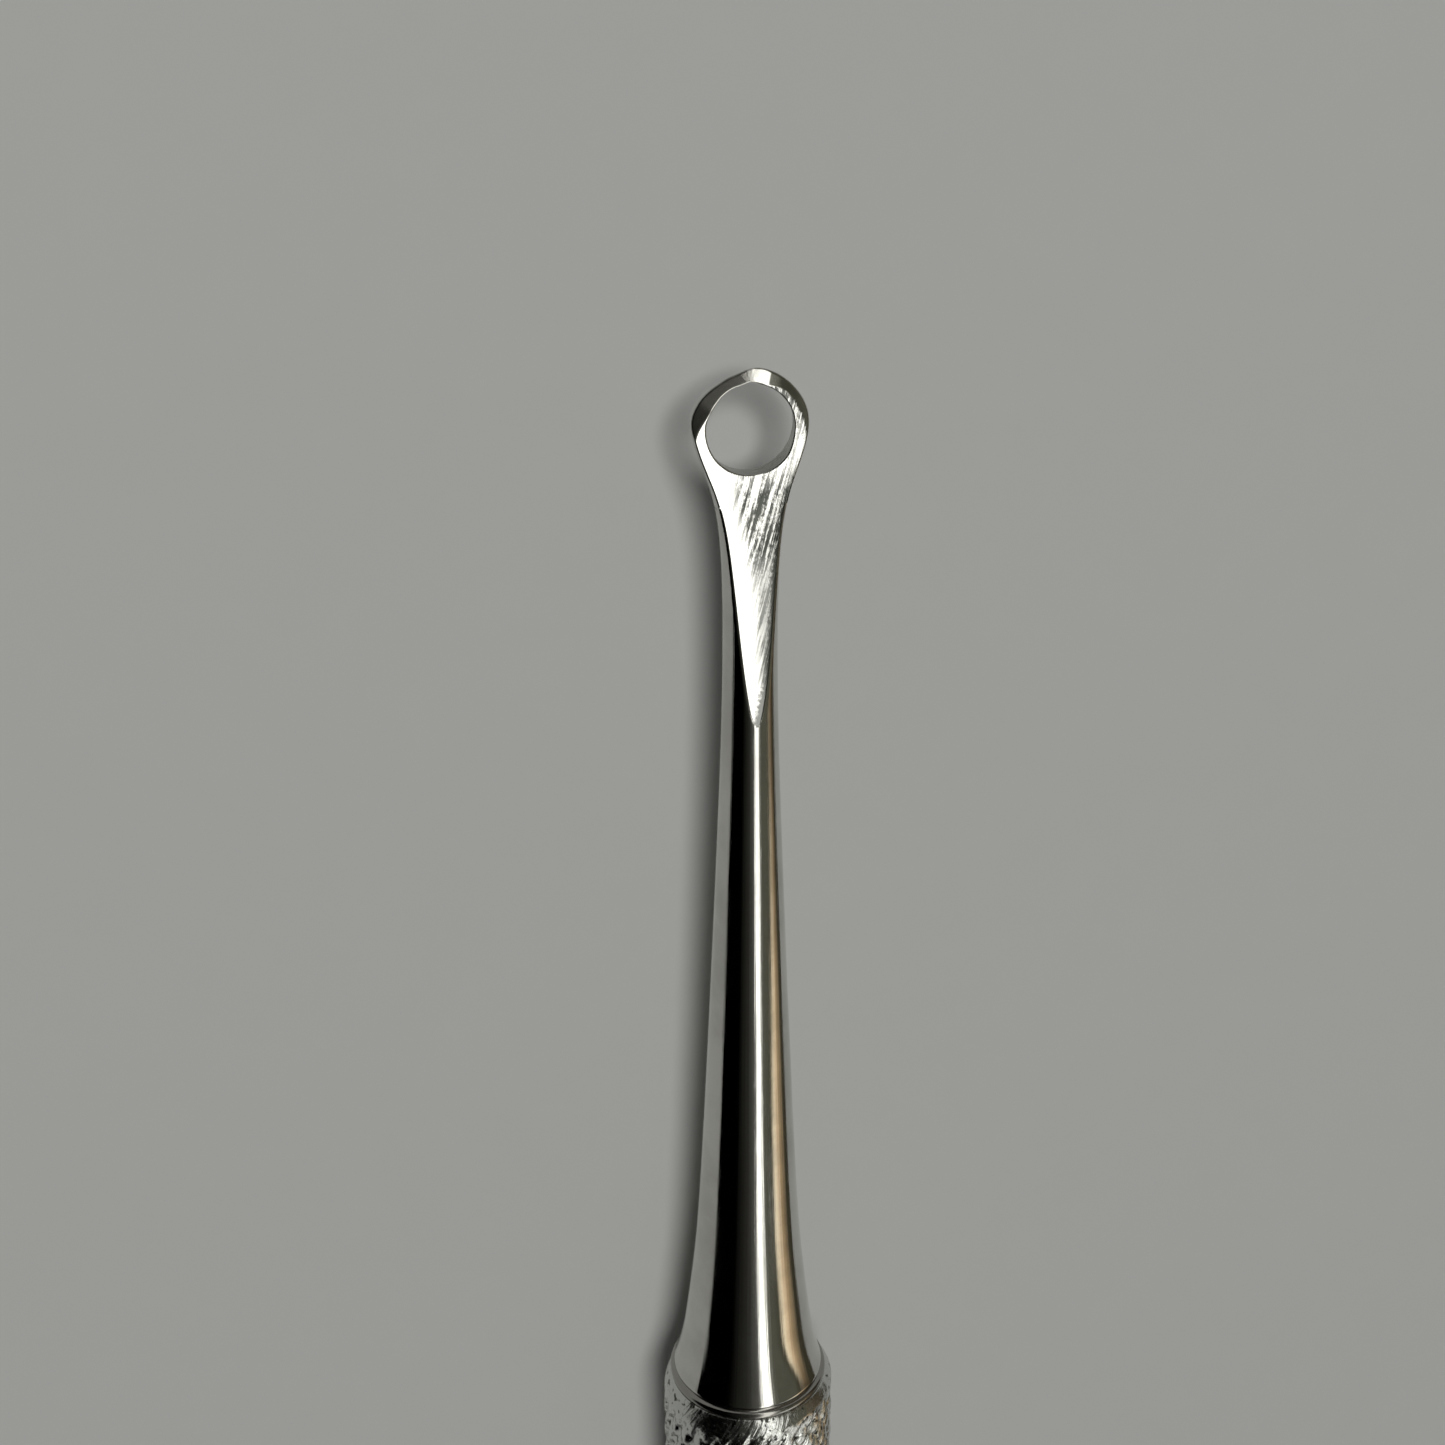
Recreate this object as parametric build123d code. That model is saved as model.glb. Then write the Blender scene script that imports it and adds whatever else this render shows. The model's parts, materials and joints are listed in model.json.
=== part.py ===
from build123d import *
import math
import os

# Ring curette: a steel ring tip screwed into a hollow knurled grip that is closed by a domed plug.
# Units mm. The tool lies along X with the ring at +X and the ground face of the ring up (+Z).
# The grip rests on Z = 0, and the bounding box is centred on X = 0 and Y = 0.

os.makedirs("parts", exist_ok=True)

# overall
TOTAL_L = 145.0
GRIP_R = 3.50

# ring head; s is the distance from the centre of the hole towards the grip
HOLE_R = 1.56
NOSE_L = 2.00
HEAD_R = 1.97
FACE_Z = 0.15
FACE_DEG = 4.7
BACK_Z = -0.40
BACK_DEG = 3.0
BEVEL_S = 0.55
BEVEL_R = 1.90
BEVEL_DEG = 18.0
BEVEL_END_S = 1.2

# tip body, as (s, radius) along its axis
NECK = [
    (1.0, 1.77),
    (2.0, 1.415),
    (3.0, 1.175),
    (4.7, 1.01),
    (7.5, 0.965),
    (10.4, 1.01),
    (15.0, 1.17),
    (20.0, 1.385),
    (25.0, 1.615),
    (30.0, 1.87),
    (34.0, 2.155),
    (36.5, 2.44),
    (38.5, 2.75),
]
CONE_END = (39.60, 3.05)
GROOVE_R = 3.00
BEAD_S = 39.74
SEAM_S = 40.05
SEAM_R = 3.20

# joint between the tip and the grip
BORE_R = 2.50
SPIGOT_R = 2.48
SPIGOT_L = 4.0
STUD_R = 1.50
STUD_L = 7.0
STUD_CHAMFER = 0.3
BUSH_BORE_R = 1.52
BUSH_L = 8.0

# grip
FRONT_CHAMFER_L = 0.40
BAND_L = 10.0
BAND_R = 3.40
RELIEF_L = 0.8
RELIEF_R = 3.20
REAR_CHAMFER = 0.25

# end plug
DOME_L = 2.5
DOME_RIM_L = 0.5
PLUG_SPIGOT_L = 6.0
PLUG_CHAMFER = 0.3

HOLE_X = TOTAL_L / 2 - NOSE_L
SEAM_X = HOLE_X - SEAM_S
REAR_X = -TOTAL_L / 2 + DOME_L


def turned(points):
    """Solid of revolution about the X axis from closed (x, radius) corner points."""
    outline = Polyline(*[(x, r) for x, r in points], close=True)
    return revolve(make_face(outline), Axis.X)


def half_space(s_origin, z, tilt_deg, side):
    """Big block above (side=1) or below (side=-1) a plane through (s_origin, z), rising towards the grip."""
    size = 60.0
    block = Box(size, size, size, align=(Align.CENTER, Align.CENTER, Align.MIN))
    if side < 0:
        block = Rot(180, 0, 0) * block
    return Pos(HOLE_X - s_origin, 0, z) * Rot(0, tilt_deg, 0) * block


def ring_tip():
    # turned blank: round nose, waisted shank, trumpet, bead, spigot and threaded stud
    nose = EllipticalCenterArc((HOLE_X, 0), NOSE_L, HEAD_R, 0, arc_size=90)
    body = Spline(
        (HOLE_X, HEAD_R),
        *[(HOLE_X - s, r) for s, r in NECK],
        (HOLE_X - CONE_END[0], CONE_END[1]),
        tangents=[(-1, 0), (-1, 0.33)],
    )
    bead_x = HOLE_X - BEAD_S
    stud_x = SEAM_X - SPIGOT_L - STUD_L
    rest = Polyline(
        (HOLE_X - CONE_END[0], CONE_END[1]),
        (HOLE_X - CONE_END[0], GROOVE_R),
        (bead_x, GROOVE_R),
        (bead_x, SEAM_R - 0.06),
        (bead_x - 0.08, SEAM_R),
        (SEAM_X + 0.08, SEAM_R),
        (SEAM_X, SEAM_R - 0.06),
        (SEAM_X, SPIGOT_R),
        (SEAM_X - SPIGOT_L, SPIGOT_R),
        (SEAM_X - SPIGOT_L, STUD_R),
        (stud_x + STUD_CHAMFER, STUD_R),
        (stud_x, STUD_R - STUD_CHAMFER),
        (stud_x, 0),
        (HOLE_X + NOSE_L, 0),
    )
    blank = revolve(make_face([nose, body, rest]), Axis.X)

    # ground face, inclined to the axis, and the shallower relief behind the ring
    head = blank - half_space(0, FACE_Z, FACE_DEG, 1)
    head = head - half_space(0, BACK_Z, -BACK_DEG, -1)

    # eye of the ring
    head = head - Pos(HOLE_X, 0, 0) * Cylinder(HOLE_R, 12)

    # crown bevel: an eccentric cone round the nose that dies out along both arms of the ring
    drop = math.tan(math.radians(BEVEL_DEG))
    reach = BEVEL_R + 1.6
    section = Polyline(
        (BEVEL_R, 0),
        (reach, -drop * (reach - BEVEL_R)),
        (reach, 1.0),
        (BEVEL_R, 1.0),
        close=True,
    )
    cone = revolve(make_face(Plane.XZ * section), Axis.Z)
    keep = Pos(-BEVEL_END_S + BEVEL_S, 0, 0) * Box(
        12, 12, 6, align=(Align.MIN, Align.CENTER, Align.CENTER)
    )
    bevel_z = FACE_Z + BEVEL_S * math.tan(math.radians(FACE_DEG))
    at_face = Pos(HOLE_X - BEVEL_S, 0, bevel_z) * Rot(0, FACE_DEG, 0)
    return head - at_face * (cone & keep)


def grip_tube():
    # hollow grip: bevelled front, knurled length over its crests, relief groove and plain band
    band_x = REAR_X + BAND_L
    return turned(
        [
            (SEAM_X, BORE_R),
            (SEAM_X, SEAM_R),
            (SEAM_X - FRONT_CHAMFER_L, GRIP_R),
            (band_x + RELIEF_L, GRIP_R),
            (band_x + RELIEF_L, RELIEF_R),
            (band_x, RELIEF_R),
            (band_x, BAND_R),
            (REAR_X + REAR_CHAMFER, BAND_R),
            (REAR_X, BAND_R - REAR_CHAMFER),
            (REAR_X, BORE_R),
        ]
    )


def socket_bush():
    # threaded bush pressed into the grip behind the spigot
    front = SEAM_X - SPIGOT_L
    return turned(
        [
            (front, BUSH_BORE_R),
            (front, BORE_R),
            (front - BUSH_L, BORE_R),
            (front - BUSH_L, BUSH_BORE_R),
        ]
    )


def end_plug():
    # plug pressed into the rear of the grip, its outer end a spherical dome
    rim_x = REAR_X - DOME_RIM_L
    rim_r = BAND_R - REAR_CHAMFER
    height = DOME_L - DOME_RIM_L
    sphere_r = (rim_r**2 + height**2) / (2 * height)
    half_angle = math.asin(rim_r / sphere_r) / 2
    middle = (
        -TOTAL_L / 2 + sphere_r * (1 - math.cos(half_angle)),
        sphere_r * math.sin(half_angle),
    )
    dome = ThreePointArc((rim_x, rim_r), middle, (-TOTAL_L / 2, 0))
    inner_x = REAR_X + PLUG_SPIGOT_L
    rest = Polyline(
        (-TOTAL_L / 2, 0),
        (inner_x, 0),
        (inner_x, BORE_R - PLUG_CHAMFER),
        (inner_x - PLUG_CHAMFER, BORE_R),
        (REAR_X, BORE_R),
        (REAR_X, rim_r),
        (rim_x, rim_r),
    )
    return revolve(make_face([dome, rest]), Axis.X)


NODES = {
    "ring_tip": ring_tip(),
    "grip_tube": grip_tube(),
    "socket_bush": socket_bush(),
    "end_plug": end_plug(),
}

for name, shape in NODES.items():
    placed = Pos(0, 0, GRIP_R) * shape
    export_step(placed, f"parts/{name}.step")
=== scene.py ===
import json
import math
import bmesh
import bpy
import numpy as np
from mathutils import Matrix, Vector


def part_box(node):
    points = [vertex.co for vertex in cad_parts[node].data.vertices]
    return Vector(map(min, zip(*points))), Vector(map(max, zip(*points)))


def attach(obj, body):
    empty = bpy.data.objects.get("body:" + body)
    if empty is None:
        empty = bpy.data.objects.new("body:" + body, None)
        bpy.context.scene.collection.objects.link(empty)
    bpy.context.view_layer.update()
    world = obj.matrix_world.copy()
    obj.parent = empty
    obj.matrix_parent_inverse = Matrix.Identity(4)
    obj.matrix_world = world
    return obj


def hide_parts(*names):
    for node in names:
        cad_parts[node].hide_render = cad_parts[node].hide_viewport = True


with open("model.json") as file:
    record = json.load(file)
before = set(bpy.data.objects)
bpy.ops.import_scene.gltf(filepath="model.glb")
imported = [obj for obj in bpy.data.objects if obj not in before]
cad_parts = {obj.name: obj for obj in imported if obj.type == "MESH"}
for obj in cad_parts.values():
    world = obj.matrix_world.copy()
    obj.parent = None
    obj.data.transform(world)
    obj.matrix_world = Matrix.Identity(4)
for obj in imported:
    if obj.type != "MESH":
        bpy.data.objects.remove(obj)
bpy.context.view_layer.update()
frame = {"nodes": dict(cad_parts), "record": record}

MM = 0.001
rng = np.random.default_rng(7)

# ---------------------------------------------------------------- places, from the frame
mounts = {m["name"]: m for m in frame["record"]["mounts"]}
HOLE_X = mounts["ring_eye"]["pos_m"][0] / MM
AXIS_Z = mounts["grip_band"]["pos_m"][2] / MM
HOLE_R = mounts["ring_eye"]["dims"]["r_mm"]
BAND_R = mounts["grip_band"]["dims"]["r_mm"]
grip_low, grip_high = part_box("grip_tube")
tip_low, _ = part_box("ring_tip")
SEAM_S = HOLE_X - grip_high.x / MM
REAR_S = HOLE_X - grip_low.x / MM
STUD_END_S = HOLE_X - tip_low.x / MM
GRIP_R = (grip_high.y - grip_low.y) / MM / 2

# ---------------------------------------------------------------- ring tip, in mm
# s is the distance from the centre of the hole towards the grip, z the height above the tool's axis
NOSE_L = 2.00
HEAD_R = 1.97
FACE_Z = 0.15
FACE_SLOPE = math.tan(math.radians(4.7))
BACK_Z = -0.40
BACK_SLOPE = math.tan(math.radians(3.0))

# how far the face rolls over at its -Y edge, and where that starts and ends along it
FACE_ROLL = 0.11
ROLL_FROM, ROLL_RISE = 1.2, 2.2
ROLL_TO, ROLL_FALL = 10.5, 2.0

# crown bevel: its edge with the face is an arc about a point that drifts to -Y. A flat cuts the arc on the
# +Y side; beyond the flat the arc opens a little, and on the -Y side it stands out in two steps, each a
# share of the radius with its start and end in radians from the nose. STEPS_END is where they end.
CROWN_S = 0.55
CROWN_Y = -0.24
CROWN_SHIFT_L = 2.5
CROWN_R = 1.90
CROWN_DROP = math.tan(math.radians(17.0))
CHORD_AT = math.radians(27.5)
CHORD_HALF = math.radians(24)
CHORD_LIMIT = 1.4
CHORD_BLEND = 0.02
CROWN_OPEN, OPEN_OVER = 0.045, 0.5
CROWN_STEPS = ((0.045, 0.03, 0.22), (0.015, 0.22, 0.5))
STEPS_END = (-1.0, -0.5)
CROWN_BLEND = 0.012

# the eye and the outline are out of round: fractions of the radius, with their ranges in degrees from the
# nose, positive towards +Y
EYE_LEFT, EYE_LEFT_START, EYE_LEFT_END = 0.062, (-8, 14), (-88, -48)
EYE_RIGHT, EYE_RIGHT_START = 0.052, (-4, 18)
EYE_RIGHT_END, EYE_RIGHT_END_LOW = (-135, -100), (-75, -45)
FLAT_DEPTH, FLAT_START, FLAT_END = 0.08, (-12, 18), (-66, -30)
CHEEKS = ((0.05, 80, 16), (0.026, -76, 20))

# broken edges; at a square corner each side loses this share of the rounding
EDGE = 0.05
NECK_EDGE = 0.09
SQUARE = math.radians(85)
SHARE = 0.7

# the ring plate ends and the shank begins at NECK_S; NECK is the turned profile as (s, radius)
NECK_S = 2.6
NECK = [
    (0.0, HEAD_R), (1.0, 1.77), (2.0, 1.415), (3.0, 1.175), (4.7, 1.01), (7.5, 0.965), (10.4, 1.01),
    (15.0, 1.17), (20.0, 1.385), (25.0, 1.615), (30.0, 1.87), (34.0, 2.155), (36.5, 2.44), (38.5, 2.75),
    (39.6, 3.05),
]
CONE_END_SLOPE = 0.33
CONE_END_S = NECK[-1][0]

# least half width of the shank's front and back, as an angle: a sliver near the ring, 60 degrees at the grip
LEAST_TURN, LEAST_TURN_FAR = 0.06, math.pi / 3
SPREAD_S = (9.0, 18.0)
FLAT_BLEND = 0.006

# how finely the tip is meshed; between the two s values the shank's stations lie further apart
COLUMNS = 300
NECK_COLUMNS = 44
WALL_ROWS = 22
FACE_RINGS = 16
BACK_RINGS = 10
HOLE_ROWS = 12
FINE_TO_S, FINE_FROM_S = 13.0, 36.0

# material slots of the tip, and how near (mm) a point lies to the face or the back to count as on it
POLISHED, GROUND, BORED, SHADED_BASE = 0, 1, 2, 3
# the last slot darkens the turned base of the flare with these tints: painted shade, to dim its reflections
SHADED_BASE_TINTS = ((0.30, 0.29, 0.27), (0.46, 0.45, 0.43))
ON_FLAT = 0.004


def cubic_through(points, start_slope, end_slope):
    """Smooth curve through (x, y) points with given end slopes, as a function of x."""
    x, y = np.array(points, float).T
    h = np.diff(x)
    n = len(x)
    a = np.zeros((n, n))
    b = np.zeros(n)
    a[0, 0] = a[-1, -1] = 1
    b[0], b[-1] = start_slope, end_slope
    for i in range(1, n - 1):
        a[i, i - 1 : i + 2] = h[i], 2 * (h[i - 1] + h[i]), h[i - 1]
        b[i] = 3 * (h[i] * (y[i] - y[i - 1]) / h[i - 1] + h[i - 1] * (y[i + 1] - y[i]) / h[i])
    slope = np.linalg.solve(a, b)

    def value(at):
        at = np.asarray(at, float)
        i = np.clip(np.searchsorted(x, at) - 1, 0, n - 2)
        t = (at - x[i]) / h[i]
        return (
            y[i] * (1 + 2 * t) * (1 - t) ** 2
            + y[i + 1] * t**2 * (3 - 2 * t)
            + h[i] * t * (1 - t) * (slope[i] * (1 - t) - slope[i + 1] * t)
        )

    return value


neck_curve = cubic_through(NECK, 0.0, CONE_END_SLOPE)


def blank_radius(s):
    """Radius of the turned blank: an elliptical nose, then the waisted shank and its flare."""
    s = np.asarray(s, float)
    nose = HEAD_R * np.sqrt(np.clip(1 - (np.minimum(s, 0) / NOSE_L) ** 2, 0, 1))
    return np.where(s < 0, nose, neck_curve(np.clip(s, 0, CONE_END_S)))


def smooth_step(value, start, end):
    t = np.clip((value - start) / (end - start), 0, 1)
    return t * t * (3 - 2 * t)


def soft_min(a, b, width):
    h = np.clip(width - np.abs(a - b), 0, None) / width
    return np.minimum(a, b) - h * h * width / 4


def face_z(s, y=0.0):
    """Ground face: flat, but between the ring and its far end it rolls over towards its -Y edge."""
    flat = FACE_Z + FACE_SLOPE * s
    half = np.sqrt(np.clip(blank_radius(s) ** 2 - flat**2, 0.12, None))
    rolled = np.clip((s - ROLL_FROM) / ROLL_RISE, 0, 1) * np.clip((ROLL_TO - s) / ROLL_FALL, 0, 1)
    return flat - FACE_ROLL * rolled * np.clip(-y, 0, None) ** 4 / (4 * half**3)


def back_z(s):
    return BACK_Z - BACK_SLOPE * s


def past_crown_edge(s, y):
    """How far a point lies past the edge between the face and the crown, which has a flat on its +Y side."""
    up = np.minimum(s - CROWN_S, 0)
    side = y - CROWN_Y * np.clip(-up / CROWN_SHIFT_L, 0, 1)
    angle = np.arctan2(side, -up)
    off_chord = np.clip(angle - CHORD_AT, -CHORD_LIMIT, CHORD_LIMIT)
    around = 1 + CROWN_OPEN * smooth_step(off_chord, CHORD_HALF, CHORD_HALF + OPEN_OVER)
    stand_out = sum(height * smooth_step(-angle, start, end) for height, start, end in CROWN_STEPS)
    around = around + stand_out * smooth_step(angle, *STEPS_END)
    reach = soft_min(around, math.cos(CHORD_HALF) / np.cos(off_chord), CHORD_BLEND)
    return np.hypot(up, side) / reach - CROWN_R


def front_z(s, y):
    """Ground face, and the crown bevel that cuts it round the nose."""
    face = face_z(s, y)
    return soft_min(face, face - CROWN_DROP * past_crown_edge(s, y), CROWN_BLEND)


def signed_degrees(theta):
    return np.degrees((theta + math.pi) % (2 * math.pi) - math.pi)


def eye_radius(theta, low=False):
    """Rim of the hole, filed out of round: the upper rim is tighter at both shoulders and along -Y."""
    degrees = signed_degrees(theta)
    left = EYE_LEFT * smooth_step(degrees, *EYE_LEFT_START) * smooth_step(-degrees, *EYE_LEFT_END)
    right_end = EYE_RIGHT_END_LOW if low else EYE_RIGHT_END
    right = EYE_RIGHT * smooth_step(-degrees, *EYE_RIGHT_START) * smooth_step(degrees, *right_end)
    return HOLE_R * (1 - left - right)


def outline(theta, height):
    """Distance from the hole centre to the blank's surface, at a height given by a function of (s, y)."""
    near = np.full_like(theta, 0.5)
    far = np.full_like(theta, 6.0)
    for _ in range(40):
        mid = (near + far) / 2
        s, y = -mid * np.cos(theta), mid * np.sin(theta)
        z = height(s, y)
        inside = y**2 + z**2 < blank_radius(s) ** 2
        inside &= s > -NOSE_L
        near = np.where(inside, mid, near)
        far = np.where(inside, far, mid)
    degrees = signed_degrees(theta)
    flat = FLAT_DEPTH * smooth_step(degrees, *FLAT_START) * smooth_step(-degrees, *FLAT_END)
    cheeks = sum(height * np.exp(-(((degrees - middle) / width) ** 2)) for height, middle, width in CHEEKS)
    return near * (1 - flat + cheeks)


def eased(count):
    """Fractions 0 to 1, closer together at both ends."""
    return (1 - np.cos(np.pi * np.arange(count + 1) / count)) / 2


def rounding(distance, turn, reach=EDGE):
    """How far a point this near to an edge moves inwards, to round the edge over."""
    near = np.clip(1 - distance / reach, 0, 1)
    return 0.5 * reach * np.tan(turn / 2) * near**2


def place(s, y, z):
    """Row-frame position in metres of tip or grip coordinates in mm."""
    s, y, z = np.broadcast_arrays(s, y, z)
    return np.stack([(HOLE_X - s) * MM, y * MM, (AXIS_Z + z) * MM], -1)


def mesh_object(name, points, faces, materials, slots):
    mesh = bpy.data.meshes.new(name)
    mesh.from_pydata([tuple(p) for p in points], [], [tuple(map(int, f)) for f in faces])
    for m in materials:
        mesh.materials.append(m)
    mesh.polygons.foreach_set("material_index", np.asarray(slots, np.int32))
    mesh.polygons.foreach_set("use_smooth", np.ones(len(mesh.polygons), bool))
    solid = bmesh.new()
    solid.from_mesh(mesh)
    bmesh.ops.recalc_face_normals(solid, faces=solid.faces)
    solid.to_mesh(mesh)
    solid.free()
    obj = bpy.data.objects.new(name, mesh)
    bpy.context.scene.collection.objects.link(obj)
    return obj


def ring_faces(loops, closed=True):
    """Quads between neighbouring loops of vertex numbers."""
    a, b = loops[:-1], loops[1:]
    if closed:
        an, bn = np.roll(a, -1, 1), np.roll(b, -1, 1)
    else:
        a, an = a[:, :-1], a[:, 1:]
        b, bn = b[:, :-1], b[:, 1:]
    return np.stack([a, an, bn, b], -1).reshape(-1, 4)


# vertical lines of the shank sections: front flat, one side, back flat, other side
front_t = np.cos(np.pi * np.arange(NECK_COLUMNS + 1) / NECK_COLUMNS)
side_t = eased(WALL_ROWS)[1:-1]


def section(s):
    """One closed cross-section of the shank: (y, z) points and the edge rounding already applied."""
    r = float(blank_radius(s))
    least = LEAST_TURN + (LEAST_TURN_FAR - LEAST_TURN) * smooth_step(s, *SPREAD_S)
    front = max(math.acos(min(face_z(s) / r, 1)), least)
    back = max(math.acos(min(-back_z(s) / r, 1)), least)
    rolled = front
    for _ in range(12):
        rolled = max(math.acos(min(float(face_z(s, -r * math.sin(rolled))) / r, 1)), least)
    top = np.where(front_t > 0, front, rolled) * front_t
    right = -(rolled + (math.pi - back - rolled) * side_t)
    under = math.pi + back * front_t
    left = (math.pi - back) + (front - (math.pi - back)) * side_t
    angle = np.concatenate([top, right, under, left])
    y, z = r * np.sin(angle), r * np.cos(angle)
    z = soft_min(z, face_z(s, y), FLAT_BLEND)
    z = -soft_min(-z, np.full_like(z, -back_z(s)), FLAT_BLEND)
    for corner, side, sign in ((front, 1, 1), (rolled, -1, 1), (back, 1, -1), (back, -1, -1)):
        if corner <= least:
            continue
        yc, zc = side * r * math.sin(corner), sign * r * math.cos(corner)
        move = rounding(np.hypot(y - yc, z - zc), corner, NECK_EDGE)
        y = y - move * side * math.sin(corner / 2)
        z = z - move * sign * math.cos(corner / 2)
    return y, z


def head_columns():
    """Angles round the hole, and the radius of the neck line for the columns that face the grip."""
    y, _ = section(NECK_S)
    ring = np.linspace(math.atan2(y[NECK_COLUMNS], -NECK_S), math.atan2(y[0], -NECK_S), COLUMNS + 1)
    neck = np.arctan2(y[1:NECK_COLUMNS], -NECK_S)
    return np.concatenate([ring, neck % (2 * math.pi)]), NECK_S / -np.cos(neck)


def build_tip():
    points, faces, slots = [], [], []
    count = 0

    def add(block):
        nonlocal count
        flat = block.reshape(-1, 3)
        points.append(flat)
        ids = np.arange(count, count + len(flat)).reshape(block.shape[:-1])
        count += len(flat)
        return ids

    theta, neck_rho = head_columns()
    total = len(theta)
    out_front = outline(theta, front_z)
    out_back = outline(theta, lambda s, y: back_z(s))
    neck = slice(COLUMNS + 1, total)
    out_front[neck] = neck_rho
    out_back[neck] = neck_rho

    rim, low_rim = eye_radius(theta), eye_radius(theta, low=True)

    def grid(fractions, inner, outer, height, sign):
        """One face of the ring plate, from the rim of the hole to its outline."""
        rho = inner + fractions[:, None] * (outer - inner)[None]
        s, y = -rho * np.cos(theta), rho * np.sin(theta)
        z = height(s, y)
        outer_gap = outer[None] - rho
        outer_gap[:, neck] = 1.0
        move_in = rounding(rho - inner, SQUARE)
        move_out = rounding(outer_gap, SQUARE)
        rho = rho + SHARE * (move_in - move_out)
        z = z - sign * SHARE * (move_in + move_out)
        return place(-rho * np.cos(theta), rho * np.sin(theta), z)

    front = add(grid(eased(FACE_RINGS), rim, out_front, front_z, 1))
    back = add(grid(eased(BACK_RINGS), low_rim, out_back, lambda s, y: back_z(s), -1))

    # wall of the hole, between the two rims
    t = eased(HOLE_ROWS)[1:-1, None]
    top = front_z(-rim * np.cos(theta), rim * np.sin(theta))
    low = back_z(-low_rim * np.cos(theta))
    z = top + (low - top) * t
    move_top, move_low = rounding(top - z, SQUARE), rounding(z - low, SQUARE)
    rho = rim + (low_rim - rim) * t + SHARE * (move_top + move_low)
    z = z - SHARE * (move_top - move_low)
    hole = add(place(-rho * np.cos(theta), rho * np.sin(theta), z))
    hole = np.vstack([front[:1], hole, back[:1]])

    # outer wall of the ring, which is what is left of the turned blank
    ring = slice(0, COLUMNS + 1)
    side_theta = theta[ring]
    top = front_z(-out_front[ring] * np.cos(side_theta), out_front[ring] * np.sin(side_theta))
    low = back_z(-out_back[ring] * np.cos(side_theta))
    rows = []
    for fraction in eased(WALL_ROWS)[1:-1]:
        z = top + (low - top) * fraction
        rho = outline(side_theta, lambda s, y, z=z: z)
        move_top, move_low = rounding(top - z, SQUARE), rounding(z - low, SQUARE)
        rho = rho - SHARE * (move_top + move_low)
        z = z - SHARE * (move_top - move_low)
        rows.append(place(-rho * np.cos(side_theta), rho * np.sin(side_theta), z))
    wall = add(np.array(rows))
    wall = np.vstack([front[-1:, ring], wall, back[-1:, ring]])

    def put(quads, slot):
        faces.append(quads)
        slots.append(np.broadcast_to(slot, len(quads)))

    # the crown is polished like the blank, the face inside its edge is left as ground
    ring_middles = (eased(FACE_RINGS)[:-1] + eased(FACE_RINGS)[1:])[:, None] / 2
    centre_rho = rim + ring_middles * (out_front - rim)
    s, y = -centre_rho * np.cos(theta), centre_rho * np.sin(theta)
    on_crown = past_crown_edge(s, y) > 0
    put(ring_faces(front)[:, ::-1], np.where(on_crown, POLISHED, GROUND).reshape(-1))
    put(ring_faces(back), GROUND)
    put(ring_faces(hole), BORED)
    put(ring_faces(wall, closed=False)[:, ::-1], POLISHED)

    # the loop where the head becomes the shank
    neck_ids = np.arange(COLUMNS + 1, total)
    first_loop = np.concatenate(
        [
            front[-1, [COLUMNS]], front[-1, neck_ids], front[-1, [0]],
            wall[1:-1, 0],
            back[-1, [0]], back[-1, neck_ids[::-1]], back[-1, [COLUMNS]],
            wall[1:-1, COLUMNS][::-1],
        ]
    )
    stations = np.concatenate(
        [
            np.arange(NECK_S + 0.08, FINE_TO_S, 0.08),
            np.arange(FINE_TO_S, FINE_FROM_S, 0.2),
            np.arange(FINE_FROM_S, CONE_END_S - 0.05, 0.1),
            [CONE_END_S - 0.03],
        ]
    )
    blocks, on_flat = [], []
    for s in stations:
        y, z = section(s)
        blocks.append(place(s, y, z))
        on_flat.append((np.abs(z - face_z(s, y)) < ON_FLAT) | (np.abs(z - back_z(s)) < ON_FLAT))

    # base of the flare: groove, rounded bead, shoulder, spigot and the threaded stud
    angle = np.arctan2(*section(CONE_END_S - 0.05))
    turned = [*base_profile(), *thread_profile(angle), *STUD_TAIL]
    for s, r in turned:
        blocks.append(place(s, r * np.sin(angle), r * np.cos(angle)))
        on_flat.append(np.zeros(len(angle), bool))
    loops = np.vstack([first_loop[None], add(np.array(blocks))])
    on_flat = np.vstack([on_flat[0][None], on_flat])
    both = on_flat[:-1] & on_flat[1:]
    slot = np.where(both & np.roll(both, -1, 1), GROUND, POLISHED)
    # the groove, bead, shoulder, spigot and stud take the darker tint: painted shade
    slot[len(stations) :] = SHADED_BASE
    put(ring_faces(loops), slot.reshape(-1))
    tail = add(place(STUD_END_S, 0.0, 0.0)[None])
    cap = [(a, b, tail[0]) for a, b in zip(loops[-1], np.roll(loops[-1], -1))]

    all_faces = [tuple(q) for q in np.vstack(faces)] + cap
    all_slots = np.concatenate(slots + [np.full(len(cap), POLISHED)])
    # the fourth steel is turned steel in a darker tint: painted shade on the base of the flare
    steels = [polished_steel(), ground_steel(), bored_steel(), turned_steel("base_shade_painted_steel", *SHADED_BASE_TINTS)]
    return mesh_object("ring_tip_steel", np.vstack(points), all_faces, steels, all_slots)


SEAM_R = 3.20
GROOVE_R = 3.0
SPIGOT_R = 2.48
SPIGOT_END_S = SEAM_S + 4.0
STUD_R = 1.50
STUD_TAIL = ((STUD_END_S - 0.30, STUD_R - 0.25), (STUD_END_S, STUD_R - 0.4))
THREAD_PITCH = 0.5
THREAD_STEP = 0.0625
THREAD_DEPTH = 0.26
THREAD_PLAY = 0.02

# half length and height of the rounded bead, and its distance from the seam
BEAD_L, BEAD_H, BEAD_BACK = 0.145, 0.09, 0.155


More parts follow.
